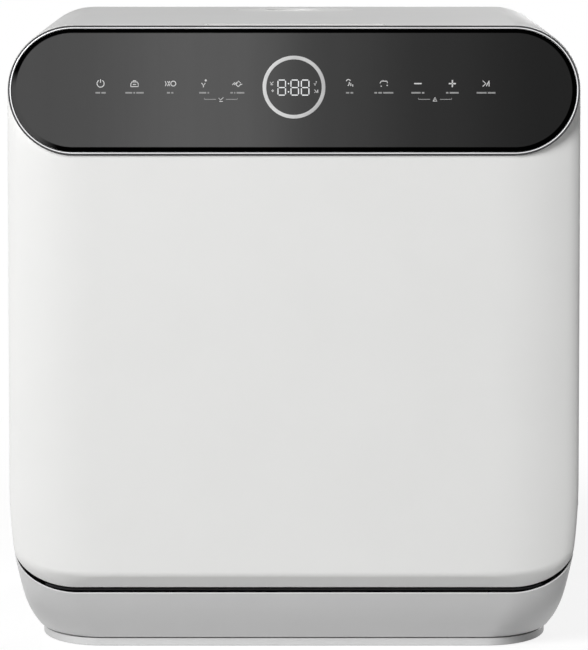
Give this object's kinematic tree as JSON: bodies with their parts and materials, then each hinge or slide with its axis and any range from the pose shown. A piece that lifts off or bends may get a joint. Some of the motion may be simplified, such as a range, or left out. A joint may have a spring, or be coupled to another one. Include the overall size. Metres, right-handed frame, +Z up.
{
  "type": "countertop dishwasher",
  "caption": "Compact countertop dishwasher with a drop-down door, a full-width touch panel, a water filler in the top and a rack that rolls out.",
  "frame": {"origin": "middle of the footprint on the bench, under the rubber feet", "axes": "+X to the right, the door faces -Y, +Z up"},
  "size_m": [0.42, 0.44, 0.465],
  "materials": {
    "white_shell": "satin white moulded shell",
    "white_metal": "white powder-coated steel",
    "grey_shell": "light grey moulded base",
    "dark_trim": "grey plastic",
    "black_plastic": "black plastic",
    "panel_glass": "dark back-printed glass",
    "bright_trim": "bright trim",
    "steel": "brushed stainless steel",
    "galvanised": "galvanised sheet",
    "zinc": "zinc-plated steel",
    "liner": "pale grey moulded liner",
    "gasket": "soft rubber",
    "hose": "black rubber hose",
    "foam": "felt insulation",
    "board": "circuit board",
    "display": "light guide",
    "arm_grey": "grey spray arm plastic",
    "wire": "pale nylon-coated wire",
    "blue": "blue plastic",
    "tank": "translucent tank plastic",
    "amber": "amber plastic"
  },
  "bodies": {
    "cabinet": {"cabinet_wrap": "white_metal", "grip_cup": "white_shell", "front_frame": "grey_shell", "door_gasket": "gasket", "hinge_trough": "galvanised", "hinge_ears": "zinc", "base_shell": "grey_shell", "plinth_trim": "dark_trim", "base_pan": "galvanised", "rubber_feet": "gasket", "back_panel": "grey_shell", "connector_box": "dark_trim", "inlet_valve": "white_shell", "drain_spigot": "dark_trim", "cord_gland": "black_plastic", "back_screws": "zinc", "tub": "liner", "rack_brackets": "zinc", "sump": "dark_trim", "filter_plate": "steel", "spray_duct": "arm_grey", "heater": "zinc", "wash_pump": "dark_trim", "drain_pump": "dark_trim", "hoses": "hose", "control_board": "board", "latch_housing": "black_plastic", "dryer_housing": "dark_trim", "water_tank": "tank", "filler_bowl": "white_shell", "filler_strainer": "steel"},
    "door": {"door_skin": "white_shell", "panel_trim": "bright_trim", "control_glass": "panel_glass", "display_module": "display", "touch_board": "board", "panel_tray": "black_plastic", "door_inner_frame": "galvanised", "door_insulation": "foam", "door_liner": "liner", "dispenser_housing": "arm_grey", "hinge_arms": "zinc", "door_striker": "zinc"},
    "rack": {"rack_floor": "wire", "rack_front": "wire", "rack_back": "wire", "rack_left": "wire", "rack_right": "wire", "rack_corners": "wire", "rack_tines": "wire", "shelf_clips": "white_shell", "rack_slides": "white_shell"},
    "detergent_lid": {"dispenser_lid": "arm_grey"},
    "rinse_cap": {"rinse_cap": "blue"},
    "front_rollers": {"front_rollers": "white_shell"},
    "rear_rollers": {"rear_rollers": "white_shell"},
    "cutlery_basket": {"cutlery_basket": "arm_grey"},
    "cup_shelf": {"cup_shelf": "wire"},
    "lower_spray_arm": {"lower_spray_arm": "arm_grey"},
    "upper_spray_arm": {"upper_spray_arm": "arm_grey"},
    "filter_cup": {"filter_cup": "arm_grey"},
    "float_switch": {"float_switch": "white_shell"},
    "filler_lid": {"filler_lid": "white_shell"},
    "latch_cam": {"latch_cam": "amber"},
    "wash_impeller": {"wash_impeller": "amber"},
    "drain_impeller": {"drain_impeller": "blue"},
    "dryer_fan": {"dryer_fan": "blue"}
  },
  "joints": [
    {"name": "door_hinge", "type": "hinge", "parent": "cabinet", "child": "door", "pos_m": [0, -0.204, 0.068], "axis": [1, 0, 0], "range_deg": [0, 90]},
    {"name": "rack_slide", "type": "slide", "parent": "cabinet", "child": "rack", "axis": [0, -1, 0], "range_m": [0, 0.1854]},
    {"name": "front_roller_spin", "type": "hinge", "parent": "cabinet", "child": "front_rollers", "pos_m": [0, -0.146, 0.162], "axis": [1, 0, 0], "range_deg": [0, 1300]},
    {"name": "rear_roller_spin", "type": "hinge", "parent": "cabinet", "child": "rear_rollers", "pos_m": [0, -0.086, 0.162], "axis": [1, 0, 0], "range_deg": [0, 1300]},
    {"name": "basket_lift", "type": "slide", "parent": "rack", "child": "cutlery_basket", "axis": [0, 0, 1], "range_m": [0, 0.1]},
    {"name": "cup_shelf_fold", "type": "hinge", "parent": "rack", "child": "cup_shelf", "pos_m": [-0.149, -0.007, 0.214], "axis": [0, -1, 0], "range_deg": [0, 85]},
    {"name": "detergent_lid_slide", "type": "slide", "parent": "door", "child": "detergent_lid", "axis": [-1, 0, 0], "range_m": [0, 0.054]},
    {"name": "rinse_cap_twist", "type": "hinge", "parent": "door", "child": "rinse_cap", "pos_m": [0.062, -0.2, 0.25], "axis": [0, 1, 0], "range_deg": [0, 90]},
    {"name": "lower_arm_spin", "type": "hinge", "parent": "cabinet", "child": "lower_spray_arm", "pos_m": [0, -0.014, 0.115], "axis": [0, 0, 1], "continuous": true},
    {"name": "upper_arm_spin", "type": "hinge", "parent": "cabinet", "child": "upper_spray_arm", "pos_m": [0, -0.014, 0.406], "axis": [0, 0, 1], "continuous": true},
    {"name": "filter_twist", "type": "hinge", "parent": "cabinet", "child": "filter_cup", "pos_m": [0.034, -0.014, 0.1], "axis": [0, 0, 1], "range_deg": [0, 90]},
    {"name": "float_rise", "type": "slide", "parent": "cabinet", "child": "float_switch", "axis": [0, 0, 1], "range_m": [0, 0.008]},
    {"name": "filler_lid_hinge", "type": "hinge", "parent": "cabinet", "child": "filler_lid", "pos_m": [0, 0.1845, 0.4615], "axis": [-1, 0, 0], "range_deg": [0, 105]},
    {"name": "latch_cam_pivot", "type": "hinge", "parent": "cabinet", "child": "latch_cam", "pos_m": [0.105, -0.162, 0.457], "axis": [-1, 0, 0], "range_deg": [0, 5], "stiffness_Nm_per_rad": 0.05, "springref_deg": -17.19},
    {"name": "wash_impeller_spin", "type": "hinge", "parent": "cabinet", "child": "wash_impeller", "pos_m": [0.08, -0.014, 0.056], "axis": [1, 0, 0], "continuous": true},
    {"name": "drain_impeller_spin", "type": "hinge", "parent": "cabinet", "child": "drain_impeller", "pos_m": [-0.08, -0.014, 0.05], "axis": [1, 0, 0], "continuous": true},
    {"name": "dryer_fan_spin", "type": "hinge", "parent": "cabinet", "child": "dryer_fan", "pos_m": [-0.19, -0.07, 0.368], "axis": [1, 0, 0], "continuous": true}
  ],
  "couplings": [
    {"joint": "rack_slide", "follows": "door_hinge", "m_per_rad": 0.118},
    {"joint": "front_roller_spin", "follows": "door_hinge", "ratio": 14.39},
    {"joint": "rear_roller_spin", "follows": "door_hinge", "ratio": 14.39}
  ]
}
